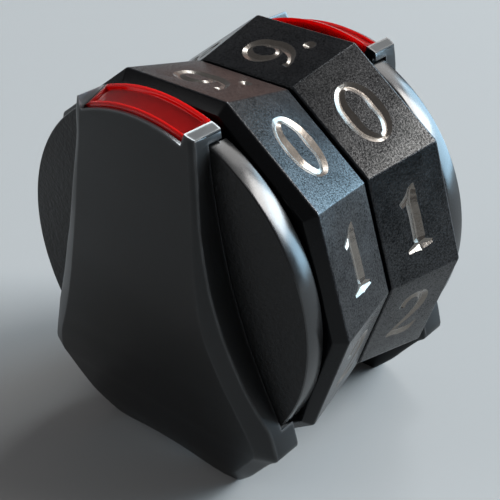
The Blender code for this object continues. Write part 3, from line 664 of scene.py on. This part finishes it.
def band_blank(sizes, hand):
    """The shield: a block cut into rows, each drawn to its width and its place."""
    face = hand * sizes.reach
    half = sizes.half_width
    piece = block("shield_band_" + WORDS[hand], (hand * sizes.back, -half, -sizes.drop),
                  (face, half, sizes.drop))
    rows = smooth_rows(BAND_ROW_SHARES)
    edit(piece)
    for height, *_ in rows[1:-1]:
        level = AXLE_HEIGHT + height * sizes.drop
        slice_all((0, 0, level), (0, 0, 1))
    for side in (-1, 1):
        slice_all((0, side * FACE_SHARE * half, 0), (0, 1, 0))
    for height, outer, inner, edge_place, face_place in rows:
        level = AXLE_HEIGHT + height * sizes.drop
        moves = ((1, outer, edge_place), (FACE_SHARE, inner, face_place))
        for start_share, share, place in moves:
            start = start_share * half
            narrower = share / start_share

            def in_row(point, normal):
                return (abs(point.z - level) < NEAR and abs(abs(point.y) - start) < NEAR
                        and abs(point.x - face) < NEAR)

            choose(piece, in_row, "VERT")
            bpy.ops.transform.resize(value=(1, narrower, 1), center_override=AXLE_POINT)
            bpy.ops.transform.translate(value=((place - 1) * face, 0, 0))

        def at_back(point, normal):
            return abs(point.z - level) < NEAR and abs(point.x - hand * sizes.back) < NEAR

        choose(piece, at_back, "VERT")
        bpy.ops.transform.resize(value=(1, outer, 1), center_override=AXLE_POINT)
    deselect_all()
    soften(piece, sizes.edge_round, BAND_SOFTENED)
    return piece


def top_keeper(sizes, hand):
    """What the band keeps: a round top that runs straight down below the axle."""
    keeper = shaft("keeper", sizes.top, hand, sizes.back - sizes.peg_length,
                   sizes.reach + sizes.peg_length, sides=RIM_SIDES)
    edit(keeper)
    choose(keeper, lambda place, normal: place.z < AXLE_HEIGHT - sizes.seat_gap, "VERT")
    bpy.ops.transform.translate(value=(0, 0, -2 * sizes.drop))
    deselect_all()
    return keeper


def sector(name, hand, section, widths, widest):
    """An arc-shaped bar at the counter's top, spun round the axle from its section.

    The section's points are places along the axle and radii. The widths run from the middle to
    the front end and to the back end.
    """
    bpy.ops.mesh.primitive_circle_add(vertices=len(section), fill_type="NGON")
    piece = seat(name)
    for point, (place, radius) in zip(piece.data.vertices, section):
        point.co = (hand * place, 0, radius)
    front, back = (math.asin(width / widest) for width in widths)
    piece.matrix_world = Matrix.Translation(AXLE_POINT) @ Matrix.Rotation(front, 4, "X")
    settle(piece)
    edit(piece)
    bpy.ops.mesh.select_all(action="SELECT")
    bpy.ops.mesh.spin(steps=ARC_STEPS, angle=front + back, center=AXLE_POINT, axis=(1, 0, 0))
    weld()
    bpy.ops.mesh.normals_make_consistent(inside=False)
    deselect_all()
    return piece


def trim_top_corners(sizes):
    """In edit mode, chamfer the top's side corners."""
    across = sizes.top_half_width
    up = math.sqrt(sizes.top ** 2 - across ** 2)
    for side in (-1, 1):
        for tilt, depth in CORNER_CUTS:
            outward = Vector((0, side * math.sin(tilt), math.cos(tilt)))
            place = Vector((0, side * across, up)) - outward * depth + Vector(AXLE_POINT)
            slice_all(place, outward, use_fill=True, clear_outer=True)


def plate_room(sizes, hand, overrun):
    """The cutter for the plate's room, less the top that wraps over the plate's rim."""
    plate = bpy.context.scene.counter_plate
    room = shaft("plate_room", plate.radius + sizes.seat_gap, hand, sizes.back - overrun,
                 plate.face + sizes.fit_gap, sides=RIM_SIDES)
    half = TOP_SHARE * sizes.half_width
    cut(room, block("wrap", (0, -half, plate.notch_floor + sizes.seat_gap),
                    (hand * sizes.reach, half, sizes.top + overrun)))
    return room


def insert_room(sizes, hand, overrun):
    """The cutter for the insert's room, which leaves a low wall before it."""
    insert = bpy.context.scene.counter_insert
    start = sizes.back - overrun
    floor = insert.bottom - sizes.seat_gap
    above = sizes.top + overrun
    wall_back = insert.front + sizes.fit_gap
    section = ((start, floor), (wall_back, floor), (wall_back, sizes.wall_top),
               (sizes.reach, sizes.wall_top), (sizes.reach, above), (start, above))
    widths = (insert.front_width + sizes.fit_gap, insert.back_width + sizes.fit_gap)
    return sector("insert_room", hand, section, widths, sizes.top)


def foot_arch(sizes, hand, overrun):
    """The cutter that arches the foot, which leaves a pad at each side."""
    half = FOOT_SHARE * sizes.half_width - sizes.foot_pad
    radius = (half ** 2 + sizes.foot_arch ** 2) / (2 * sizes.foot_arch)
    return shaft("foot_arch", radius, hand, sizes.back - overrun, sizes.reach,
                 up=sizes.foot_arch - sizes.drop - radius, sides=ARCH_SIDES)


def make_band(sizes, hand):
    """One band: the shield cut to its round top, its plate, its insert and its foot."""
    word = WORDS[hand]
    plate = bpy.context.scene.counter_plate
    overrun = bpy.context.scene.counter_insert.lip_width
    piece = band_blank(sizes, hand)
    cut(piece, top_keeper(sizes, hand), "INTERSECT")
    edit(piece)
    trim_top_corners(sizes)
    deselect_all()
    cut(piece, plate_room(sizes, hand, overrun))
    cut(piece, insert_room(sizes, hand, overrun))
    for up in (-sizes.peg_orbit, sizes.peg_orbit):
        cut(piece, shaft("peg", sizes.peg_radius, hand, plate.face - sizes.peg_length,
                         plate.face + overrun, up=up), "UNION")
    cut(piece, foot_arch(sizes, hand, overrun))
    dress(piece, band_satin)
    shade(piece, BAND_SMOOTH)
    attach(piece, "frame")
    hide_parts("band_" + word)
    return piece


def make_insert(sizes, hand):
    """One red insert: a bar spun round the axle, with a channel pressed into its top."""
    band = bpy.context.scene.counter_band
    word = WORDS[hand]
    section = ((band.back, sizes.bottom), (sizes.front, sizes.bottom),
               (sizes.front, sizes.front_radius), (band.back, band.top))
    widths = (sizes.front_width, sizes.back_width)
    piece = sector("red_arc_" + word, hand, section, widths, band.top)
    edit(piece)

    def on_top(place, normal):
        sideways = normal.y * (place.z - AXLE_HEIGHT) - normal.z * place.y
        return (from_axle(place) > sizes.bottom + sizes.channel
                and abs(normal.x) < AXIAL_SHARE and abs(sideways) < sizes.bottom / 2)

    choose(piece, on_top)
    bpy.ops.mesh.inset(thickness=sizes.lip_width, use_boundary=True)
    bpy.ops.mesh.extrude_region_move()
    swell(1 - sizes.channel / band.top)
    deselect_all()
    soften(piece, sizes.edge_round, INSERT_SOFTENED)
    dress(piece, clear_red)
    shade(piece, INSERT_SMOOTH)
    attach(piece, "frame")
    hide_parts("insert_" + word)
    return piece


# Finishes


def title(maker):
    """The name, in plain words, of what a function makes."""
    return maker.__name__.replace("_", " ")


def effect_group(maker):
    """The shader group that a function wires, made the first time it is asked for."""
    found = bpy.data.node_groups.get(title(maker))
    if found:
        return found
    group = bpy.data.node_groups.new(title(maker), "ShaderNodeTree")
    maker(group)
    return group


def open_ends(group, inputs, outputs):
    """A group's number inputs and outputs, as what its start gives and its end takes."""
    for names, direction in ((inputs, "INPUT"), (outputs, "OUTPUT")):
        for name in names:
            group.interface.new_socket(name=name, in_out=direction,
                                       socket_type="NodeSocketFloat")
    return group.nodes.new("NodeGroupInput").outputs, group.nodes.new("NodeGroupOutput").inputs


def feed(tree, socket, value):
    """Link a socket to another one, or give it a plain value."""
    if isinstance(value, bpy.types.NodeSocket):
        tree.links.new(value, socket)
    else:
        socket.default_value = value


def maths(tree, operation, first, second):
    """A maths node fed by sockets or numbers; returns its result."""
    node = tree.nodes.new("ShaderNodeMath")
    node.operation = operation
    feed(tree, node.inputs[0], first)
    feed(tree, node.inputs[1], second)
    return node.outputs[0]


def noise(tree, scale, detail, roughness):
    """A noise on object coordinates."""
    place = tree.nodes.new("ShaderNodeTexCoord")
    node = tree.nodes.new("ShaderNodeTexNoise")
    tree.links.new(place.outputs["Object"], node.inputs["Vector"])
    feed(tree, node.inputs["Scale"], scale)
    node.inputs["Detail"].default_value = detail
    node.inputs["Roughness"].default_value = roughness
    return node.outputs["Fac"]


def fine_grain(group):
    """A tone and a height, from speckle over slower mottling."""
    start, end = open_ends(group, ("Scale", "Mottling"), ("Tone", "Height"))
    speckle = noise(group, start["Scale"], *SPECKLE)
    slower = maths(group, "MULTIPLY", start["Scale"], MOTTLE_SHARE)
    mottled = maths(group, "MULTIPLY", noise(group, slower, *MOTTLE), start["Mottling"])
    group.links.new(maths(group, "ADD", speckle, mottled), end["Tone"])
    group.links.new(speckle, end["Height"])


def edge_wear(group):
    """A mask along the sharp edges, broken up by noise; it places wear and a painted highlight.
    """
    start, end = open_ends(group, ("Radius", "Breakup", "Strength"), ("Mask",))
    rounded = group.nodes.new("ShaderNodeBevel")
    rounded.samples = WEAR_SAMPLES
    group.links.new(start["Radius"], rounded.inputs["Radius"])
    surface = group.nodes.new("ShaderNodeNewGeometry")
    likeness = group.nodes.new("ShaderNodeVectorMath")
    likeness.operation = "DOT_PRODUCT"
    group.links.new(rounded.outputs["Normal"], likeness.inputs[0])
    group.links.new(surface.outputs["Normal"], likeness.inputs[1])
    edge = maths(group, "SUBTRACT", 1.0, likeness.outputs["Value"])
    strong = maths(group, "MULTIPLY", edge, start["Strength"])
    broken = noise(group, start["Breakup"], *WEAR_BREAKUP)
    mask = maths(group, "MULTIPLY", strong, maths(group, "POWER", broken, WEAR_CONTRAST))
    group.links.new(maths(group, "MINIMUM", mask, 1.0), end["Mask"])


def handling(group):
    """Soft smudges that change the roughness between two values."""
    start, end = open_ends(group, ("Scale", "Least", "Most"), ("Roughness",))
    smudge = noise(group, start["Scale"], *SMUDGE)
    spread = maths(group, "SUBTRACT", start["Most"], start["Least"])
    roughness = maths(group, "ADD", maths(group, "MULTIPLY", smudge, spread), start["Least"])
    group.links.new(roughness, end["Roughness"])


class Finish:
    """A material under way: its tree, its shader and the steps that build it."""

    def __init__(self, name):
        self.material = bpy.data.materials.new(name)
        self.material.use_nodes = True
        self.tree = self.material.node_tree
        self.shader = self.tree.nodes["Principled BSDF"]
        self.grain = None
        self.base = None

    def set(self, **values):
        """Give some of the shader's inputs a value or a link."""
        for name, value in values.items():
            feed(self.tree, self.shader.inputs[name.replace("_", " ")], value)

    def effect(self, maker, *values):
        """Place a shared effect with its own values; returns what it gives."""
        node = self.tree.nodes.new("ShaderNodeGroup")
        node.node_tree = effect_group(maker)
        for socket, value in zip(node.inputs, values):
            socket.default_value = value
        return node.outputs

    def mix(self, share, first, second):
        """Mix two colours, each given or linked, by a share."""
        node = self.tree.nodes.new("ShaderNodeMix")
        node.data_type = "RGBA"
        self.tree.links.new(share, node.inputs["Factor"])
        feed(self.tree, node.inputs["A"], first)
        feed(self.tree, node.inputs["B"], second)
        return node.outputs["Result"]

    def ramp(self, share, low=0.0, high=1.0, least=0.0, most=1.0):
        """Stretch a share so that low becomes the least value and high the most."""
        node = self.tree.nodes.new("ShaderNodeMapRange")
        for socket, value in zip(node.inputs, (share, low, high, least, most)):
            feed(self.tree, socket, value)
        return node.outputs["Result"]

    def grained(self, colour_name, scale, mottling, tones, shades):
        """Colour it in two shades, with two of the grain's tones as their ends."""
        self.grain = self.effect(fine_grain, scale, mottling)
        dark, light = (tint(colour_name, share) for share in shades)
        self.base = self.mix(self.ramp(self.grain["Tone"], *tones), dark, light)
        self.set(Base_Color=self.base)

    def worn(self, colour_name, share, radius, breakup, strength):
        """Show another shade along the sharp edges, partly wear and partly a painted highlight;
        returns where it shows.
        """
        mask = self.effect(edge_wear, radius, breakup, strength)["Mask"]
        self.set(Base_Color=self.mix(mask, self.base, tint(colour_name, share)))
        return mask

    def handled(self, scale, least, most):
        """Make the gloss uneven; returns the roughness."""
        roughness = self.effect(handling, scale, least, most)["Roughness"]
        self.set(Roughness=roughness)
        return roughness

    def raised(self, distance, strength):
        """Raise the surface by the grain's height."""
        node = self.tree.nodes.new("ShaderNodeBump")
        node.inputs["Distance"].default_value = distance
        node.inputs["Strength"].default_value = strength
        self.tree.links.new(self.grain["Height"], node.inputs["Height"])
        self.set(Normal=node.outputs["Normal"])


def tint(colour_name, share):
    """One of the finishes' colours, made darker or lighter by a share."""
    base = getattr(bpy.context.scene.counter_finish, colour_name)
    return (*(channel * share for channel in base), 1.0)


def material(maker):
    """The material that a function finishes, made the first time it is asked for."""
    found = bpy.data.materials.get(title(maker))
    if found:
        return found
    finish = Finish(title(maker))
    maker(finish)
    return finish.material


def drum_black(finish):
    """Blasted black metal: speckled, with a lighter bluish grey along the sharp edges, partly
    bare metal where worn and partly a painted highlight.
    """
    finish.grained("drum", scale=6000.0, mottling=0.2, tones=(0.4, 0.8), shades=(0.55, 1.9))
    # The edges' lighter colour is partly wear and partly a painted highlight
    mask = finish.worn("drum_wear", share=1.0, radius=0.14 * MM, breakup=1300.0, strength=24.0)
    finish.handled(scale=240.0, least=0.15, most=0.28)
    gleam = finish.ramp(finish.grain["Tone"], low=0.46, high=0.76, least=0.08, most=0.6)
    finish.set(Specular_IOR_Level=maths(finish.tree, "MAXIMUM", gleam, mask))
    finish.raised(distance=0.014 * MM, strength=0.9)


def drum_end_black(finish):
    """The same black on the drum's turned ends, smoother and with less speckle; its darker shades
    and weak specular are painted shade for the gap beside the plate.
    """
    finish.grained("drum", scale=6000.0, mottling=0.3, tones=(0.4, 0.9), shades=(0.6, 1.2))
    finish.worn("drum_wear", share=1.0, radius=0.14 * MM, breakup=1300.0, strength=5.0)
    finish.handled(scale=240.0, least=0.2, most=0.32)
    finish.raised(distance=0.004 * MM, strength=0.6)
    finish.set(Specular_IOR_Level=0.2)


def numeral_paint(finish):
    """Pale metallic paint in the carved numerals, a little uneven."""
    finish.grained("paint", scale=3600.0, mottling=0.6, tones=(0.4, 1.0), shades=(0.72, 1.0))
    finish.handled(scale=700.0, least=0.15, most=0.26)
    finish.raised(distance=0.02 * MM, strength=0.5)
    finish.set(Metallic=0.82)


def plate_grain(finish):
    """Black plastic with a fine leathery grain."""
    finish.grained("plate", scale=2300.0, mottling=0.5, tones=(0.4, 1.05), shades=(0.7, 1.6))
    finish.handled(scale=180.0, least=0.42, most=0.58)
    finish.raised(distance=0.1 * MM, strength=1.0)
    finish.set(Specular_IOR_Level=0.36)


def plate_rim(finish):
    """The plate's polished rim, with faint rubbing marks."""
    finish.grained("plate", scale=1500.0, mottling=0.8, tones=(0.5, 1.2), shades=(1.0, 2.0))
    finish.handled(scale=420.0, least=0.12, most=0.3)
    finish.set(Specular_IOR_Level=0.66)


def band_satin(finish):
    """Dark grey satin plastic, finely textured, and lighter at its edges, partly rubbing wear and
    partly a painted highlight.
    """
    finish.grained("band", scale=4200.0, mottling=0.7, tones=(0.4, 1.2), shades=(0.8, 1.35))
    # The edges' eightfold lighter grey is partly rubbing wear and partly a painted highlight
    mask = finish.worn("band", share=8.0, radius=0.4 * MM, breakup=700.0, strength=90.0)
    roughness = finish.handled(scale=130.0, least=0.3, most=0.46)
    rubbed = finish.ramp(mask, least=1.0, most=0.5)
    finish.set(Roughness=maths(finish.tree, "MULTIPLY", roughness, rubbed),
               Specular_IOR_Level=finish.ramp(mask, least=0.4, most=1.0))
    finish.raised(distance=0.008 * MM, strength=0.5)


def clear_red(finish):
    """Glossy red plastic that lets light in."""
    finish.grained("red", scale=900.0, mottling=0.6, tones=(0.4, 1.1), shades=(0.85, 1.0))
    finish.handled(scale=300.0, least=0.06, most=0.18)
    finish.set(Subsurface_Weight=0.55, Subsurface_Radius=(4.0 * MM, 0.6 * MM, 0.5 * MM),
               Subsurface_Scale=1.0, IOR=1.5)


def bright_steel(finish):
    """Steel of the axle, springs and screws."""
    finish.grained("steel", scale=3000.0, mottling=0.5, tones=(0.4, 1.0), shades=(0.8, 1.0))
    finish.handled(scale=500.0, least=0.22, most=0.38)
    finish.set(Metallic=1.0)


def white_acetal(finish):
    """Natural white plastic of the bushes and washers."""
    finish.grained("acetal", scale=1800.0, mottling=0.6, tones=(0.4, 1.2), shades=(0.9, 1.0))
    finish.set(Roughness=0.42, Subsurface_Weight=0.1,
               Subsurface_Radius=(1.0 * MM, 0.9 * MM, 0.8 * MM))


def floor_paper(finish):
    """Pale matt paper."""
    finish.grained("floor", scale=1500.0, mottling=0.5, tones=(0.3, 1.3), shades=(0.985, 1.0))
    finish.set(Roughness=0.9, Specular_IOR_Level=0.2)


# Operators


class COUNTER_OT_drums(bpy.types.Operator):
    """Make both number drums"""

    bl_idname = "life_counter.drums"
    bl_label = "Number Drums"

    def execute(self, context):
        for hand in WORDS:
            make_drum(context.scene.counter_drum, hand)
        return {"FINISHED"}


class COUNTER_OT_plates(bpy.types.Operator):
    """Make both end plates"""

    bl_idname = "life_counter.plates"
    bl_label = "End Plates"

    def execute(self, context):
        for hand in WORDS:
            make_plate(context.scene.counter_plate, hand)
        return {"FINISHED"}


class COUNTER_OT_bands(bpy.types.Operator):
    """Make both shield-shaped bands"""

    bl_idname = "life_counter.bands"
    bl_label = "Bands"

    def execute(self, context):
        for hand in WORDS:
            make_band(context.scene.counter_band, hand)
        return {"FINISHED"}


class COUNTER_OT_inserts(bpy.types.Operator):
    """Make both red inserts"""

    bl_idname = "life_counter.inserts"
    bl_label = "Red Inserts"

    def execute(self, context):
        for hand in WORDS:
            make_insert(context.scene.counter_insert, hand)
        return {"FINISHED"}


class COUNTER_OT_inner_works(bpy.types.Operator):
    """Finish the axle, the bushes, the washers, the springs and the screws"""

    bl_idname = "life_counter.inner_works"
    bl_label = "Inner Works"

    def execute(self, context):
        makers = {"steel": bright_steel, "acetal": white_acetal}
        for entry in frame["record"]["subparts"]:
            maker = makers.get(entry["material_slot"])
            if maker:
                dress(frame["nodes"][entry["node"]], maker)
        return {"FINISHED"}


class COUNTER_OT_stage(bpy.types.Operator):
    """Set the floor, the light from all round, the lamps and the camera"""

    bl_idname = "life_counter.stage"
    bl_label = "Stage"

    def execute(self, context):
        scene = context.scene
        sizes = scene.counter_stage
        bpy.ops.mesh.primitive_plane_add(size=sizes.floor_width)
        floor = seat("table_top")
        dress(floor, floor_paper)
        surroundings = bpy.data.worlds.new("surroundings")
        surroundings.use_nodes = True
        light = surroundings.node_tree.nodes["Background"]
        light.inputs["Color"].default_value = (*scene.counter_finish.surroundings, 1.0)
        scene.world = surroundings
        for lamp in LAMPS:
            add_lamp(*lamp)
        add_camera(sizes)
        scene.view_settings.view_transform = "Standard"
        return {"FINISHED"}


def add_lamp(name, direction, width, radiance, lamp_colour):
    """A square soft lamp that looks at the counter from a direction."""
    away = Vector(direction).normalized()
    bpy.ops.object.light_add(type="AREA", location=Vector(AXLE_POINT) + away * LAMP_DISTANCE)
    lamp = bpy.context.object
    lamp.name = name
    lamp.rotation_euler = away.to_track_quat("Z", "Y").to_euler()
    lamp.data.size = width * LAMP_DISTANCE
    lamp.data.energy = radiance * math.pi * lamp.data.size ** 2
    lamp.data.color = lamp_colour


def add_camera(sizes):
    """The camera, at the photograph's viewing angle."""
    forward = Vector(sizes.camera_turn).normalized()
    right = forward.cross(Vector(sizes.camera_up)).normalized()
    upward = right.cross(forward)
    turned = Matrix((right, upward, -forward)).transposed().to_4x4()
    data = bpy.data.cameras.new("camera")
    data.lens = sizes.lens
    data.sensor_width = SENSOR_WIDTH
    data.shift_x = SHIFT_X
    data.shift_y = SHIFT_Y
    data.clip_start = CLIP_START
    camera = bpy.data.objects.new("camera", data)
    bpy.context.scene.collection.objects.link(camera)
    camera.matrix_world = Matrix.Translation(sizes.camera_place) @ turned
    bpy.context.scene.camera = camera


PROPERTY_GROUPS = {
    "counter_drum": DrumSizes,
    "counter_plate": PlateSizes,
    "counter_band": BandSizes,
    "counter_insert": InsertSizes,
    "counter_finish": Finishes,
    "counter_stage": StageSizes,
}
OPERATORS = (COUNTER_OT_drums, COUNTER_OT_plates, COUNTER_OT_bands, COUNTER_OT_inserts,
             COUNTER_OT_inner_works, COUNTER_OT_stage)


class COUNTER_PT_panel(bpy.types.Panel):
    """The counter's operators, in the order in which they are run"""

    bl_idname = "COUNTER_PT_panel"
    bl_label = "Life Counter"
    bl_space_type = "VIEW_3D"
    bl_region_type = "UI"
    bl_category = "Counter"

    def draw(self, context):
        for operator in OPERATORS:
            self.layout.operator(operator.bl_idname)


def register():
    for group in PROPERTY_GROUPS.values():
        bpy.utils.register_class(group)
    for operator in OPERATORS:
        bpy.utils.register_class(operator)
    bpy.utils.register_class(COUNTER_PT_panel)
    for name, group in PROPERTY_GROUPS.items():
        setattr(bpy.types.Scene, name, bpy.props.PointerProperty(type=group))


def unregister():
    for name in PROPERTY_GROUPS:
        delattr(bpy.types.Scene, name)
    bpy.utils.unregister_class(COUNTER_PT_panel)
    for operator in reversed(OPERATORS):
        bpy.utils.unregister_class(operator)
    for group in reversed(PROPERTY_GROUPS.values()):
        bpy.utils.unregister_class(group)


def main():
    """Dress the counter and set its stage."""
    register()
    for operator in OPERATORS:
        family, name = operator.bl_idname.split(".")
        getattr(getattr(bpy.ops, family), name)()


if __name__ == "__main__":
    main()
